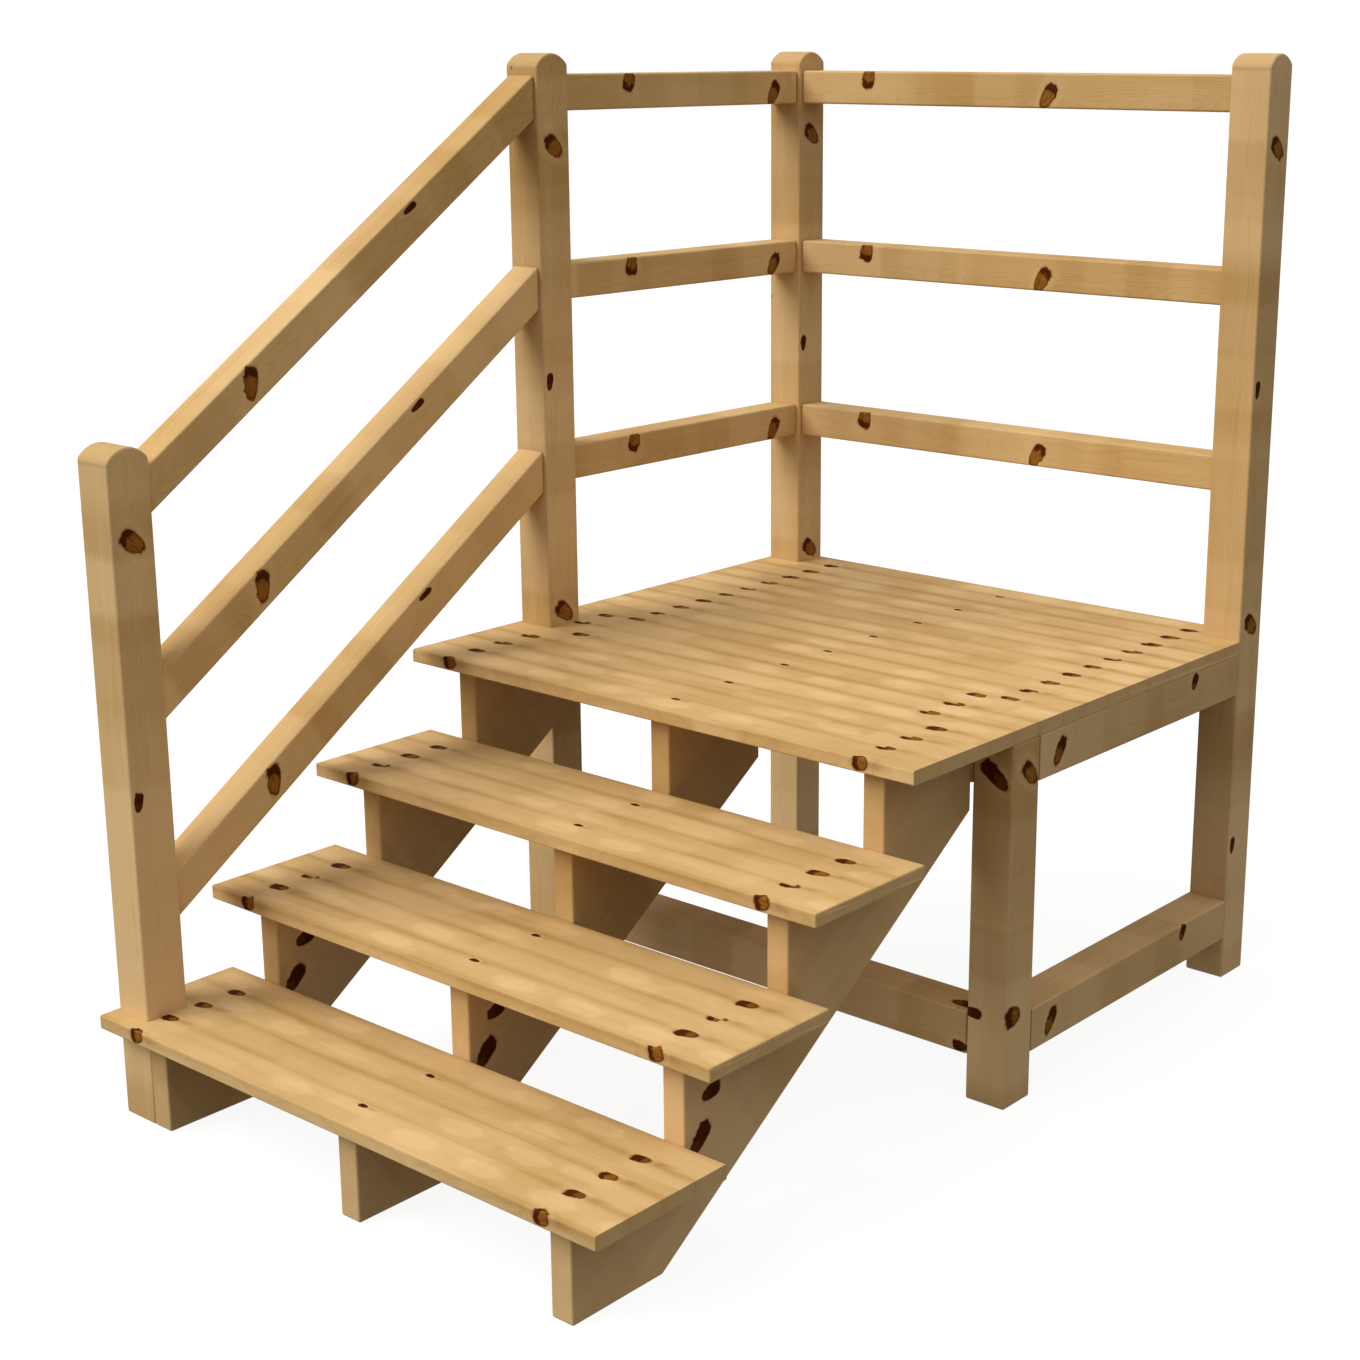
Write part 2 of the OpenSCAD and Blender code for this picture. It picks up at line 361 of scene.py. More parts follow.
# shapes
axisOrder = {"x": (0, 1, 2), "y": (1, 2, 0), "z": (2, 0, 1)}    # along, across, through
axisWay = {"x": np.array([1.0, 0, 0]), "y": np.array([0, 1.0, 0]), "z": np.array([0, 0, 1.0])}
arcSteps = 5           # faces round a quarter turn of an edge
gridStep = 0.010       # spacing of the points on a flat face
capRings = 4           # rings between an end's centre and its rim
cutEdge = 0.0006       # edge of a board where it meets its own next length
knotDepth = 0.030      # how far into the timber a knot tapers away
knotSettings = {
    "thinning": 0.6, "thinnest": 0.08,      # what a knot loses at its depth, and the least that stays
    "edgeOn": 0.25,                         # a face that looks less than this share its way shows none
    "reach": 3.6, "boardReach": 2.6,        # how far out a point still follows a knot, in half widths
    "boardShort": 0.45,                     # along a board the reach is longer by one over this
    "bare": 1.2, "contest": 0.5,            # outside bare, a point this near to two knots follows none
    "ownAlong": 1.15, "ownAcross": 1.6,     # inside these a point is on its knot
    "farOff": 90.0,
}


def marksBetween(size, step=gridStep):
    # evenly spaced offsets from the middle, without the two ends
    count = max(2, int(math.ceil(size / step)))
    return np.linspace(-size / 2, size / 2, count + 1)[1:-1]


def sectionRing(wide, high, radii, inset, marksWide, marksHigh):
    # Rounded rectangle moved in by inset: each corner's centre stands max(inset, r) inside both sides
    # and its arc has what is left of r; flat sides run between the arcs. Goes round from +b to +c.
    signs = ((1, -1), (1, 1), (-1, 1), (-1, -1))
    ringB, ringC, facing = [], [], []
    for k, (signB, signC) in enumerate(signs):
        left = np.maximum(radii[k] - inset, 0)
        centreB = signB * (wide / 2 - np.maximum(inset, radii[k]))
        centreC = signC * (high / 2 - np.maximum(inset, radii[k]))
        for angle in (k - 1) * math.pi / 2 + np.linspace(0, math.pi / 2, arcSteps + 1):
            ringB.append(centreB + left * math.cos(angle))
            ringC.append(centreC + left * math.sin(angle))
            facing.append(angle)
        nextLimit = np.maximum(inset, radii[(k + 1) % 4])
        thisLimit = np.maximum(inset, radii[k])
        sideAngle = k * math.pi / 2
        if k in (0, 2):     # the sides that look along b
            for mark in (marksHigh if k == 0 else marksHigh[::-1]):
                low, top = (thisLimit, nextLimit) if k == 0 else (nextLimit, thisLimit)
                ringB.append(signB * (wide / 2 - inset))
                ringC.append(np.clip(mark, -high / 2 + low, high / 2 - top))
                facing.append(sideAngle)
        else:               # the sides that look along c
            for mark in (marksWide[::-1] if k == 1 else marksWide):
                low, top = (nextLimit, thisLimit) if k == 1 else (thisLimit, nextLimit)
                ringB.append(np.clip(mark, -wide / 2 + low, wide / 2 - top))
                ringC.append(signC * (high / 2 - inset))
                facing.append(sideAngle)
    return np.array(ringB).T, np.array(ringC).T, np.array(facing)


def quadsBetween(rings, around):
    # one four-sided face for each pair of neighbouring rings and each step round them
    i, j = np.meshgrid(np.arange(rings - 1), np.arange(around), indexing="ij")
    nextJ = (j + 1) % around
    corners = (i * around + j, i * around + nextJ, (i + 1) * around + nextJ, (i + 1) * around + j)
    return np.stack(corners, -1)


def timberShell(size, radii, endRadius, marksWide=None, marksHigh=None, step=gridStep):
    # A squared timber. Its section is carried along the length; near an end the section is moved in by
    # r(1 - sin t) at a distance r(1 - cos t), t from 0 to 90 degrees, and each cap shrinks to one point.
    length, wide, high = size
    turn = np.linspace(0, math.pi / 2, arcSteps + 1)
    fromEnd, endInset = endRadius * (1 - np.cos(turn)), endRadius * (1 - np.sin(turn))
    middle = length / 2 + marksBetween(length - 2 * endRadius, step)
    shrink = np.linspace(0, 1, capRings + 1)[:-1]
    flat, still = np.zeros(len(middle)), np.ones(len(turn) * 2 + len(middle))
    a = np.concatenate([shrink * 0, fromEnd, middle, length - fromEnd[::-1], shrink * 0 + length])
    inset = np.concatenate([shrink * 0 + endRadius, endInset, flat, endInset[::-1], shrink * 0 + endRadius])
    scale = np.concatenate([shrink, still, shrink[::-1]])
    lengthwise = np.concatenate([shrink * 0 - 1, -np.cos(turn), flat, np.cos(turn[::-1]), shrink * 0 + 1])
    outward = np.sqrt(np.clip(1 - lengthwise ** 2, 0, 1))
    ringB, ringC, facing = sectionRing(wide, high, radii, inset,
                                       marksBetween(wide, step) if marksWide is None else marksWide,
                                       marksBetween(high, step) if marksHigh is None else marksHigh)
    rings, around = ringB.shape
    whole = np.ones(around)
    points = np.stack([a[:, None] * whole, ringB * scale[:, None], ringC * scale[:, None]], -1)
    normals = np.stack([lengthwise[:, None] * whole, outward[:, None] * np.cos(facing),
                        outward[:, None] * np.sin(facing)], -1)
    end = np.clip((np.abs(lengthwise) - 0.4) / 0.3, 0, 1)[:, None] * whole
    quads = quadsBetween(rings, around)
    # the first and last rings are single points, so their faces are triangles
    lastRing = (rings - 1) * around
    pole = lambda at: np.where(at < around, 0, np.where(at >= lastRing, lastRing, at))
    firstCap = pole(quads[0])[:, [0, 2, 3]]
    lastCap = pole(quads[-1])[:, :3]
    body = quads[1:-1].reshape(-1, 4)
    keep = np.ones(rings * around, bool)
    keep[1:around] = False
    keep[lastRing + 1:] = False
    place = np.cumsum(keep) - 1
    faces = [tuple(f) for part in (firstCap, body, lastCap) for f in place[part].tolist()]
    return {"points": points.reshape(-1, 3)[keep], "normals": normals.reshape(-1, 3)[keep],
            "faces": faces, "end": end.reshape(-1)[keep]}


def placeShell(shell, low, high, axis):
    order = axisOrder[axis]
    middle = (low + high) / 2
    points, normals = np.zeros_like(shell["points"]), np.zeros_like(shell["normals"])
    for k in range(3):
        base = low[order[0]] if k == 0 else middle[order[k]]
        points[:, order[k]] = base + shell["points"][:, k]
        normals[:, order[k]] = shell["normals"][:, k]
    shell["points"], shell["normals"] = points, normals
    return shell


def timber(low, high, axis, radius, endRadius=None, **more):
    order = axisOrder[axis]
    radii = radius if isinstance(radius, tuple) else (radius,) * 4
    ends = radii[0] if endRadius is None else endRadius
    return placeShell(timberShell((high - low)[list(order)], radii, ends, **more), low, high, axis)


def roundTop(shell, low, high, rise):
    # The top of a post is bent to an arc across its depth: a point sinks by D(y) times its share w of the
    # last tenth of a metre, where D is how far the arc lies under its crown; normals turn with the bend.
    half = (high[1] - low[1]) / 2
    arc = (half ** 2 + rise ** 2) / (2 * rise)
    reach = 0.10
    points, normals = shell["points"], shell["normals"]
    y = points[:, 1] - (low[1] + high[1]) / 2
    root = np.sqrt(np.maximum(arc ** 2 - y ** 2, 1e-9))
    drop, slope = arc - root, y / root
    share = np.clip((points[:, 2] - (high[2] - reach)) / reach, 0, 1)
    inside = (share > 0).astype(float)
    squeeze = 1 - drop * inside / reach
    points[:, 2] -= drop * share
    upright = normals[:, 2] / squeeze
    normals[:, 1] += slope * share * upright
    normals[:, 2] = upright
    shell["normals"] = normals / np.linalg.norm(normals, axis=1, keepdims=True)
    shell["end"] = np.clip(shell["end"] + (share > 0.93) * (np.abs(shell["normals"][:, 0]) < 0.5), 0, 1)
    return shell


def lean(shell, fromY, slope):
    # shear upwards along the climb: z grows by slope times the distance, and normals follow
    shell["points"][:, 2] += slope * (shell["points"][:, 1] - fromY)
    shell["normals"][:, 1] -= slope * shell["normals"][:, 2]
    shell["normals"] /= np.linalg.norm(shell["normals"], axis=1, keepdims=True)
    return shell


def joinShells(shells):
    start = np.cumsum([0] + [len(s["points"]) for s in shells])
    keys = [k for k in shells[0] if k != "faces"]
    joined = {k: np.concatenate([s[k] for s in shells]) for k in keys}
    joined["faces"] = [tuple(v + at for v in f) for s, at in zip(shells, start.tolist()) for f in s["faces"]]
    return joined


def roundedOutline(corners, radius, step=gridStep):
    # Closed outline, anticlockwise: each outward corner becomes an arc of the radius, each straight run
    # is cut into short lengths. Gives places, outward normals and how a point moves for each unit of inset.
    corners = np.asarray(corners, float)
    count = len(corners)
    before = corners - np.roll(corners, 1, 0)
    after = np.roll(corners, -1, 0) - corners
    before /= np.linalg.norm(before, axis=1, keepdims=True)
    after /= np.linalg.norm(after, axis=1, keepdims=True)
    normalBefore = np.stack([before[:, 1], -before[:, 0]], 1)
    normalAfter = np.stack([after[:, 1], -after[:, 0]], 1)
    turned = before[:, 0] * after[:, 1] - before[:, 1] * after[:, 0]
    bend = np.arctan2(turned, (before * after).sum(1))
    cut = np.where(bend > 0, radius * np.tan(bend / 2), 0)
    places, facings, moves = [], [], []
    for k in range(count):
        if bend[k] > 0:
            centre = corners[k] - before[k] * cut[k] - normalBefore[k] * radius
            start = math.atan2(normalBefore[k][1], normalBefore[k][0])
            for angle in start + np.linspace(0, bend[k], 5):
                n = np.array([math.cos(angle), math.sin(angle)])
                places.append(centre + radius * n)
                facings.append(n)
                moves.append(-n)
        else:
            n = normalBefore[k] + normalAfter[k]
            places.append(corners[k])
            facings.append(n / np.linalg.norm(n))
            moves.append(-n / (1 + normalBefore[k] @ normalAfter[k]))
        following = (k + 1) % count
        run = corners[k] + after[k] * cut[k], corners[following] - after[k] * cut[following]
        pieces = max(2, int(np.linalg.norm(run[1] - run[0]) / step))
        for share in np.arange(1, pieces) / pieces:
            places.append(run[0] + (run[1] - run[0]) * share)
            facings.append(normalAfter[k])
            moves.append(-normalAfter[k])
    return np.array(places), np.array(facings), np.array(moves)


def insideOutline(spots, outline, margin):
    # even-odd crossings for inside, and the distance to each straight piece for the margin
    a, b = outline, np.roll(outline, -1, 0)
    over = (a[:, 1] > spots[:, None, 1]) != (b[:, 1] > spots[:, None, 1])
    rise = np.where(b[:, 1] == a[:, 1], 1e-12, b[:, 1] - a[:, 1])
    crossing = a[:, 0] + (spots[:, None, 1] - a[:, 1]) * (b[:, 0] - a[:, 0]) / rise
    odd = (over & (spots[:, None, 0] < crossing)).sum(1) % 2 == 1
    run = b - a
    t = np.clip(((spots[:, None] - a) * run).sum(-1) / np.maximum((run ** 2).sum(-1), 1e-12), 0, 1)
    far = np.linalg.norm(spots[:, None] - (a + t[..., None] * run), axis=-1).min(1)
    return odd & (far > margin)


def plankShell(corners, low, high, radius, slope):
    # A plank sawn to an outline in Y and Z and carried along X. Each ring is the outline moved in by
    # r(1 - sin t) at a distance r(1 - cos t) from a face; the two faces are filled with a slanting grid.
    places, facings, moves = roundedOutline(corners, radius * 1.2)
    turn = np.linspace(0, math.pi / 2, arcSteps + 1)
    fromFace, inset = radius * (1 - np.cos(turn)), radius * (1 - np.sin(turn))
    middle = (low + high) / 2 + marksBetween(high - low - 2 * radius)
    x = np.concatenate([low + fromFace, middle, high - fromFace[::-1]])
    insets = np.concatenate([inset, middle * 0, inset[::-1]])
    sideways = np.concatenate([-np.cos(turn), middle * 0, np.cos(turn[::-1])])
    outward = np.sqrt(np.clip(1 - sideways ** 2, 0, 1))
    rings, around = len(x), len(places)
    flat = places + moves * insets[:, None, None]
    points = np.concatenate([np.repeat(x[:, None, None], around, 1), flat], -1).reshape(-1, 3)
    normals = np.concatenate([np.repeat(sideways[:, None, None], around, 1),
                              outward[:, None, None] * facings], -1).reshape(-1, 3)
    quads = quadsBetween(rings, around)
    edge = flat[0]
    lower, upper = edge.min(0), edge.max(0)
    reach = np.arange(-2.0, 2.0, gridStep)
    along, across = np.meshgrid(reach, reach)
    angle = math.atan(slope)
    turnedY = along * math.cos(angle) - across * math.sin(angle)
    turnedZ = along * math.sin(angle) + across * math.cos(angle)
    spots = np.stack([turnedY, turnedZ], -1).reshape(-1, 2) + (lower + upper) / 2
    spots = spots[((spots > lower) & (spots < upper)).all(1)]
    spots = spots[insideOutline(spots, edge, gridStep * 0.45)]
    rim = [list(range(around))]
    filled = delaunay_2d_cdt([tuple(p) for p in np.concatenate([edge, spots])], [], rim, 1, 1e-7)
    assert len(filled[0]) == around + len(spots)
    triangles = np.array([f if len(f) == 3 else f[:3] for f in filled[2]])
    p, q, r = (np.array(filled[0])[triangles[:, k]] for k in range(3))
    wrongWay = np.cross(q - p, r - p) < 0
    triangles[wrongWay] = triangles[wrongWay][:, ::-1]
    faces = quads.reshape(-1, 4).tolist()
    for face, ring, sign in ((low, 0, -1), (high, rings - 1, 1)):
        base = len(points)
        points = np.concatenate([points, np.column_stack([np.full(len(spots), face), spots])])
        normals = np.concatenate([normals, np.tile([sign, 0.0, 0.0], (len(spots), 1))])
        place = np.concatenate([ring * around + np.arange(around), base + np.arange(len(spots))])
        faces += (place[triangles] if sign > 0 else place[triangles][:, ::-1]).tolist()
    faces = [tuple(f) for f in faces]
    return {"points": points, "normals": normals, "faces": faces, "end": np.zeros(len(points))}


def cornerPairs(faces):
    # every two corners of each face
    pairs = []
    for size in (3, 4):
        part = np.array([f for f in faces if len(f) == size], int).reshape(-1, size)
        pairs += [part[:, [a, b]] for a in range(size) for b in range(a + 1, size)]
    return np.concatenate(pairs)


def knotField(points, normals, faces, knots, tailed):
    # For each point, its place from its nearest knot: along the knot, from -1 at the tip to 1 at the head,
    # and across it in half widths; a branch gets thinner with its depth, and only a shallow one wraps an
    # edge. Points far from every knot, or out between two, get one large value, so nothing shows halfway.
    look = knotSettings
    field = np.tile([look["farOff"], look["farOff"], 0.0], (len(points), 1))
    if not len(knots):
        return field
    places, off = [], []
    for middle, toHead, facing, halfWidth, brown, depth in knots:
        toHead = np.asarray(toHead, float)
        across = np.cross(axisWay[facing], toHead)
        gap = points - np.asarray(middle, float)
        left = 1 - look["thinning"] * (gap @ axisWay[facing] / depth) ** 2
        left = np.maximum(left, look["thinnest"])
        alongPart = gap @ toHead / (toHead @ toHead) / left
        acrossPart = gap @ across / np.linalg.norm(across) / halfWidth / left
        places.append(np.column_stack([alongPart, acrossPart, np.full(len(points), brown)]))
        off.append((np.abs(normals @ axisWay[facing]) < look["edgeOn"]) & (depth >= knotDepth))
    places = np.array(places)
    far = np.hypot(places[:, :, 0] * (look["boardShort"] if tailed else 1.0), places[:, :, 1])
    far[off] = look["farOff"]
    nearest = far.argmin(0)
    each = np.arange(len(points))
    own = np.abs(places[nearest, each])
    onKnot = (own[:, 0] < look["ownAlong"]) & (own[:, 1] < look["ownAcross"])
    first = far[nearest, each]
    far[nearest, each] = look["farOff"]
    second = far.min(0)
    reach = look["boardReach"] if tailed else look["reach"]
    between = (first > look["bare"]) & (second < reach) & (second - first < look["contest"])
    use = (first < reach) & ~between
    # where a face's corners would follow two knots, only points on a knot itself keep it
    a, b = cornerPairs(faces).T
    mixed = use[a] & use[b] & (nearest[a] != nearest[b])
    torn = np.zeros(len(points), bool)
    torn[a[mixed]] = True
    torn[b[mixed]] = True
    use &= ~torn | onKnot
    field[use] = places[nearest, each][use]
    return field


pieceCount = 0


def makePiece(nodes, shell, materialName, lengthDir=(1, 0, 0), knots=(), strip=None, tone=None):
    # mesh with the pine's three attributes, riding on the frame in place of its CAD node
    global pieceCount
    pieceCount += 1
    words = nodes.split("_")
    name = words[0] + "".join(w.capitalize() for w in words[1:])
    points = shell["points"]
    mesh = bpy.data.meshes.new(name)
    mesh.from_pydata(points.tolist(), [], shell["faces"])
    mesh.shade_smooth()
    mesh.normals_split_custom_set_from_vertices(shell["normals"].tolist())
    lengthDir = np.asarray(lengthDir, float) / np.linalg.norm(lengthDir)
    helper = np.array([0, 0, 1.0]) if abs(lengthDir[2]) < 0.9 else np.array([0, 1.0, 0])
    through = helper - lengthDir * (helper @ lengthDir)
    through /= np.linalg.norm(through)
    across = np.cross(through, lengthDir)
    middle = (points.min(0) + points.max(0)) / 2
    offset = rng.uniform(3, 40, 3) * np.array([1, 0, 0]) + np.append([0], rng.uniform(-0.02, 0.02, 2))
    grain = (points - middle) @ np.stack([lengthDir, across, through], 1) + offset
    toneValue = rng.uniform(-0.05, 0.07) if tone is None else tone
    strip = np.full(len(points), 0.5) if strip is None else strip
    board = np.column_stack([strip, np.full(len(points), toneValue), shell["end"]])
    knot = knotField(points, shell["normals"], shell["faces"], knots, materialName == "boardPine")
    for label, values in (("grain", grain), ("knot", knot), ("board", board)):
        attribute = mesh.attributes.new(label, "FLOAT_VECTOR", "POINT")
        attribute.data.foreach_set("vector", values.astype(np.float32).ravel())
    mesh.materials.append(pine[materialName])
    piece = bpy.data.objects.new(name, mesh)
    bpy.context.scene.collection.objects.link(piece)
    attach(piece, "root")
    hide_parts(nodes)
    return piece


def boxOf(node):
    low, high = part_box(node)
    return np.array(low), np.array(high)


# posts and the leg
# Every post has the same two kinds of knot on its right face: a large blade and a small upright slot,
# at heights counted down from the top; distances across are from the post's front face. Its left face
# has them too, lower by leftSink.
postSettings = {
    "edge": 0.0045, "topRise": 0.023, "leftSink": 0.115,
    "blade": {"across": 0.040, "toHead": (0, -0.0200, 0.0165), "halfWidth": 0.0182, "brown": 1.0},
    "slot": {"across": 0.015, "toHead": (0, 0.002, 0.0165), "halfWidth": 0.0095, "brown": 0.15},
    "tall": (("blade", 0.172), ("slot", 0.620), ("blade", 1.085), ("slot", 1.536)),
    "low": (("blade", 0.159), ("slot", 0.605)),
    # the leg's own: face, distance across, height, way to the head, half width, brown
    "legKnots": (
        ("x", 0.053, 0.619, (0, -0.0200, 0.0190), 0.0170, 1.0),
        ("x", 0.022, 0.174, (0, -0.0210, 0), 0.0220, 0.8),
        ("y", 0.046, 0.620, (-0.0260, 0, 0.0200), 0.0170, 0.30),
        ("y", 0.013, 0.170, (0.0190, 0, 0), 0.0110, 0.1),
    ),
}


def legKnots(low, high):
    made = []
    for facing, across, height, toHead, halfWidth, brown in postSettings["legKnots"]:
        right, front = (high[0], low[1] + across, height), (low[0] + across, low[1], height)
        place = right if facing == "x" else front
        made.append((place, toHead, facing, halfWidth, brown, knotDepth))
    return made


def postKnots(node, low, high):
    made = []
    for kind, down in postSettings["low" if node == "lower_post" else "tall"]:
        knot = postSettings[kind]
        for face, sink in ((high[0], 0), (low[0], postSettings["leftSink"])):
            made.append(((face, low[1] + knot["across"], high[2] - down - sink), knot["toHead"], "x",
                         knot["halfWidth"], knot["brown"], knotDepth))
    return made


for node in ("lower_post", "front_left_post", "back_left_post", "back_right_post", "front_right_leg"):
    low, high = boxOf(node)
    shell = timber(low, high, "z", postSettings["edge"], postSettings["edge"])
    if node == "front_right_leg":
        knots = legKnots(low, high)
    else:
        shell = roundTop(shell, low, high, postSettings["topRise"])
        knots = postKnots(node, low, high)
    makePiece(node, shell, "postPine", (0, 0, 1), knots)
print("stage: posts")

# joists and lower rails
# A side timber's knots: distance along it, height over its underside, way to the head, half width, brown.
frameSettings = {
    "edge": 0.004,
    "along": {"front_joist": "x", "back_joist": "x", "left_joist": "y", "right_joist": "y",
              "middle_joist": "y", "front_lower_rail": "x", "right_lower_rail": "y"},
    "blade": (0.063, 0.040, (0.0145, 0.0235), 0.0150, 0.80),
    "spot": (0.532, 0.066, (0.0060, 0.0150), 0.0120, 0.50),
    # beside the leg: place, way to the head, facing, half width, brown, depth; they wrap the timber's edge
    "cornerKnots": (
        ((0.503, 0.0845, 0.098), (-0.0150, 0, 0), "y", 0.0110, 0.10, 0.012),
        ((0.497, 0.112, 0.168), (0.0280, 0.004, 0), "z", 0.0150, 0.45, 0.012),
    ),
}


def sideKnots(low, high, axis):
    # on the outward face: the right or left side of a timber along Y, the front or back of one along X
    made = []
    across = 0 if axis == "y" else 1
    outer = high[across] if high[across] > -low[across] else low[across]
    if axis == "x" and low[1] < 0.5:
        outer = low[1]
    for name in ("blade", "spot"):
        along, height, (headAlong, headUp), halfWidth, brown = frameSettings[name]
        place, toHead = np.zeros(3), np.zeros(3)
        place[1 - across], place[across], place[2] = low[1 - across] + along, outer, low[2] + height
        toHead[1 - across], toHead[2] = headAlong, headUp
        made.append((place, toHead, "x" if axis == "y" else "y", halfWidth, brown, knotDepth))
    return made


for node, axis in frameSettings["along"].items():
    low, high = boxOf(node)
    knots = frameSettings["cornerKnots"] if node == "front_lower_rail" else sideKnots(low, high, axis)
    makePiece(node, timber(low, high, axis, frameSettings["edge"]), "framePine", tuple(axisWay[axis]), knots)
print("stage: frame")

# guard rails
# A level rail has two knots on the face that looks at the platform: one cut by its top edge, one reaching
# its underside. A stair rail has a tall blade on its right side and a slot under its top edge. The face
# turned away has the same two, further along by farShift.
railSettings = {
    "edge": 0.0045, "height": 0.068, "farShift": 0.145,
    # distance along, depth under the top edge, way to the head, half width, brown
    "upper": (0.178, 0.014, (-0.005, -0.0210), 0.0180, 0.95),
    "lower": (0.623, 0.045, (0.0140, 0.0220), 0.0165, 1.0),
    "blade": (0.222, 0.036, (0.001, 0.0290), 0.0170, 1.0),
    "slot": (0.597, 0.014, (0.0145, 0.0095), 0.0070, 0.1),
}


def railKnots(kinds, axis, start, topAt, nearFace, farFace):
    made = []
    alongAxis, facingAxis, facing = (0, 1, "y") if axis == "x" else (1, 0, "x")
    for kind in kinds:
        along, down, (headAlong, headUp), halfWidth, brown = railSettings[kind]
        for face, shift in ((nearFace, 0), (farFace, railSettings["farShift"])):
            place, toHead = np.zeros(3), np.zeros(3)
            place[alongAxis], place[facingAxis] = start + along + shift, face
            place[2] = topAt(place[alongAxis]) - down
            toHead[alongAxis], toHead[2] = headAlong, headUp
            made.append((place, toHead, facing, halfWidth, brown, knotDepth))
    return made


for height in ("top", "middle", "bottom"):
    node = "back_rail_" + height
    low, high = boxOf(node)
    knots = railKnots(("upper", "lower"), "x", low[0], lambda x: high[2], low[1], high[1])
    makePiece(node, timber(low, high, "x", railSettings["edge"]), "railPine", (1, 0, 0), knots)
    node = "left_rail_" + height
    low, high = boxOf(node)
    knots = railKnots(("upper", "lower"), "y", low[1], lambda y: high[2], high[0], low[0])
    makePiece(node, timber(low, high, "y", railSettings["edge"]), "railPine", (0, 1, 0), knots)
    node = "stair_rail_" + height
    low, high = boxOf(node)
    # the rail's fall: its whole height is the slope's rise plus the section's plumb height
    slope = 0.7
    for _ in range(30):
        slope = (high[2] - low[2] - railSettings["height"] * math.hypot(1, slope)) / (high[1] - low[1])
    plumb = railSettings["height"] * math.hypot(1, slope)
    unleant = timber(low, np.array([high[0], high[1], low[2] + plumb]), "y", railSettings["edge"])
    shell = lean(unleant, low[1], slope)
    topAt = lambda y: low[2] + plumb + slope * (y - low[1])
    knots = railKnots(("blade", "slot"), "y", low[1], topAt, high[0], low[0])
    makePiece(node, shell, "railPine", (0, 1, slope), knots)
print("stage: guard rails")

# stringers
# knots, the same on both sides: distance from the front end, height, way to the head, half width, brown
stringerSettings = {
    "edge": 0.004, "throat": 0.111,
    "knots": ((0.313, 0.267, (0, 0.0200, 0.006), 0.0145, 0.15),
              (0.286, 0.197, (0, 0.0200, 0.0220), 0.0170, 0.25),
              (0.455, 0.419, (0, 0.0120, 0.004), 0.0090, 0.1),
              (0.716, 0.560, (0, 0.0150, 0.010), 0.0120, 0.4)),
}
stepNodes = ("lower_tread", "middle_tread", "upper_tread")
going = boxOf("middle_tread")[0][1] - boxOf("lower_tread")[0][1]
for node in ("left_stringer", "middle_stringer", "right_stringer"):
    low, high = boxOf(node)
    seats = [boxOf(t)[0][2] for t in stepNodes] + [high[2]]
    slope = (seats[1] - seats[0]) / going
    drop = stringerSettings["throat"] * math.hypot(1, slope)
    toe = low[1] + going - (seats[0] - drop) / slope
    heel = (high[1] - toe) * slope
    outline = [(low[1], 0.0)]
    for k, seat in enumerate(seats):
        outline += [(low[1] + k * going, seat), (low[1] + (k + 1) * going if k < 3 else high[1], seat)]
    outline += [(high[1], heel), (toe, 0.0)]
    shell = plankShell(outline[::-1], low[0], high[0], stringerSettings["edge"], slope)
    knots = [((face, low[1] + along, height), toHead, "x", halfWidth, brown, knotDepth)
             for face in (high[0], low[0])
             for along, height, toHead, halfWidth, brown in stringerSettings["knots"]]
    makePiece(node, shell, "framePine", (0, 1, slope), knots)
print("stage: stringers")

# treads and deck
boardSettings = {
    "edge": 0.0035, "strip": 0.0718, "deckStrip": 0.0722, "edgeStrip": 0.072,
    "notchGap": 0.0003,                                       # room round a post
    "rightKnot": 0.490, "leftKnot": -0.495, "middleKnot": 0.026,
    "browns": (0.88, 0.62),                                   # of the knots in turn, on the way back
    "treadPins": (0.0625, 0.2055),                            # a tread's small middle knots, from its front
    "deckPins": (-0.137, 0.008, 0.169, 0.298, 0.445, 0.590, 0.732, 0.883),
}


def stripPlace(y, lines):
    # strip coordinate: whole numbers on the lines, straight between them
    return np.interp(y, lines, np.arange(len(lines)))


def boardMarks(lines, low, high):
    # points of the section across the board: on every line, beside it and halfway
    marks = []
    for a, b in zip(lines[:-1], lines[1:]):
        marks += list(a + (b - a) * np.array([0.0, 0.25, 0.5, 0.75]))
    marks = np.array(marks + [lines[-1]])
    marks = marks[(marks > low + 0.004) & (marks < high - 0.004)]
    return marks - (low + high) / 2


def boardPieces(low, high, holes, lines, edge):
    # A board with square notches: its length is cut at the notches' sides, and between them the board is
    # as deep as the notch leaves it; only true outer ends are rounded.
    cuts = sorted({low[0], high[0]} | {v for h in holes for v in (h[0], h[1]) if low[0] < v < high[0]})
    shells = []
    for left, right in zip(cuts[:-1], cuts[1:]):
        spans = [(low[1], high[1])]
        for x0, x1, y0, y1 in holes:
            if x0 < (left + right) / 2 < x1:
                parts = [part for a, b in spans for part in ((a, min(b, y0)), (max(a, y1), b))]
                spans = [part for part in parts if part[1] - part[0] > 0.002]
        for front, back in spans:
            a, b = np.array([left, front, low[2]]), np.array([right, back, high[2]])
            backEdge = edge if back > high[1] - 1e-6 else cutEdge
            frontEdge = edge if front < low[1] + 1e-6 else cutEdge
            ends = edge if len(cuts) == 2 else cutEdge
            radii = (backEdge, backEdge, frontEdge, frontEdge)
            shell = timberShell(b - a, radii, ends, boardMarks(lines, front, back))
            shells.append(placeShell(shell, a, b, "x"))
    return joinShells(shells) if len(shells) > 1 else shells[0]


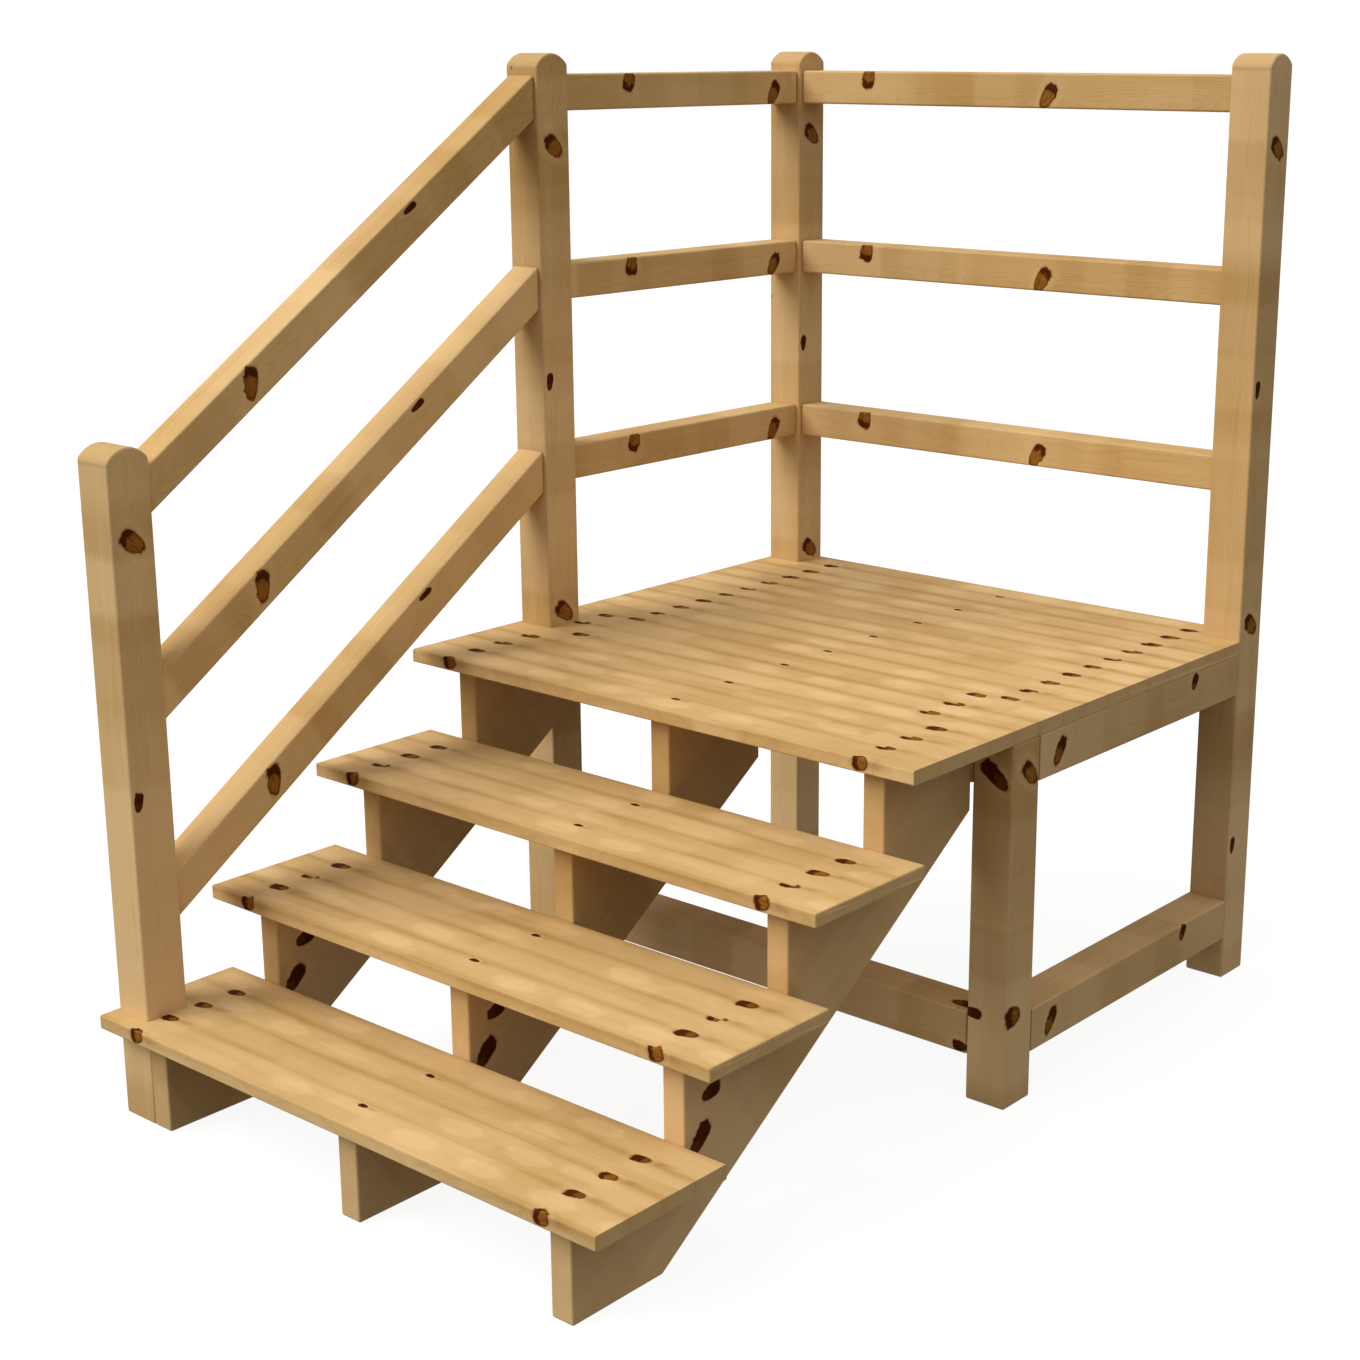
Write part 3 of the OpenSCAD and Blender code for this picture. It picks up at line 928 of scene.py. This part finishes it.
def makeBoard(node, lines, holes, knots):
    low, high = boxOf(node)
    shell = boardPieces(low, high, holes, lines, boardSettings["edge"])
    points = shell["points"]
    strip = stripPlace(points[:, 1], lines)
    # the front edge carries on the first strip downwards
    front = (np.abs(shell["normals"][:, 1]) > 0.75) & (points[:, 1] < low[1] + 0.01)
    strip = np.where(front, strip - (high[2] - points[:, 2]) / boardSettings["edgeStrip"], strip) + 40
    return makePiece(node, shell, "boardPine", (1, 0, 0), knots, strip, 0.0)


def notchesFor(nodes):
    holes = []
    gap = boardSettings["notchGap"]
    for node in nodes:
        low, high = boxOf(node)
        holes.append((low[0] - gap, high[0] + gap, low[1] - gap, high[1] + gap))
    return holes


def rowKnots(front, top, rows, seed):
    # rows: distance across, the places of its right and left knot, and brown; the first wraps the nosing
    made = []
    local = np.random.default_rng(seed)
    for y, right, left, brown in rows:
        size = local.uniform(0.92, 1.08)
        for x in (right, left):
            if y == front:
                made.append(((x, front, top - 0.008), (-0.0160, 0, 0), "y", 0.0160, 0.9, 0.018))
            else:
                toHead = (-0.0180 * size, -0.0030 * size, 0)
                made.append(((x, y - 0.001, top), toHead, "z", 0.0122 * size, brown, knotDepth))
    return made


def middleKnots(places, top):
    x = boardSettings["middleKnot"]
    return [((x, y, top), (-0.0095, 0, 0), "z", 0.0058, 0.1, knotDepth) for y in places]


browns = boardSettings["browns"]
for number, node in enumerate(stepNodes):
    low, high = boxOf(node)
    lines = low[1] + boardSettings["strip"] * np.arange(5)
    lines[-1] = high[1]
    rows = [(y, boardSettings["rightKnot"], boardSettings["leftKnot"], browns[k % 2])
            for k, y in enumerate(lines[:-1])]
    knots = rowKnots(low[1], high[2], rows, number)
    knots += middleKnots(low[1] + np.array(boardSettings["treadPins"]), high[2])
    makeBoard(node, lines, notchesFor(("lower_post",)) if number == 0 else [], knots)

# The deck is laid in two widths of strip, which meet at the seam. A row has its right and left knot; in
# front of the seam they stand on other lines along the deck than behind it, and one row lies just before
# the seam and one just behind.
deckSettings = {
    "seam": 0.240, "stripsBefore": 6, "stripsBehind": 11, "rowBefore": 0.009, "rowBehind": 0.007,
    "nearRows": 0.06, "secondRow": 0.10,         # the front rows keep the treads' lines up to here
    "right": 0.424, "left": -0.496, "secondLeft": -0.429,
    "rightBehind": 0.479, "leftBehind": -0.429,
    "seed": 9,
}
low, high = boxOf("platform_deck")
seam, before = deckSettings["seam"], deckSettings["stripsBefore"]
lines = np.concatenate([low[1] + boardSettings["deckStrip"] * np.arange(before),
                        seam + boardSettings["strip"] * np.arange(deckSettings["stripsBehind"])])
lines = np.append(lines[lines < high[1] - 0.03], high[1])
rows = []
for k, y in enumerate(lines[:before]):
    right = boardSettings["rightKnot"] if y < deckSettings["nearRows"] else deckSettings["right"]
    second = deckSettings["nearRows"] < y < deckSettings["secondRow"]
    rows.append((y, right, deckSettings["secondLeft"] if second else deckSettings["left"], browns[k % 2]))
rows.append((seam - deckSettings["rowBefore"], deckSettings["right"], deckSettings["left"], browns[0]))
for k, y in enumerate(lines[before:-1]):
    y += deckSettings["rowBehind"] if y == seam else 0
    rows.append((y, deckSettings["rightBehind"], deckSettings["leftBehind"], browns[k % 2]))
knots = rowKnots(low[1], high[2], rows, deckSettings["seed"])
knots += middleKnots(boardSettings["deckPins"], high[2])
holes = notchesFor(("front_left_post", "back_left_post", "back_right_post"))
makeBoard("platform_deck", lines, holes, knots)
print("stage: treads and deck,", pieceCount, "pieces")
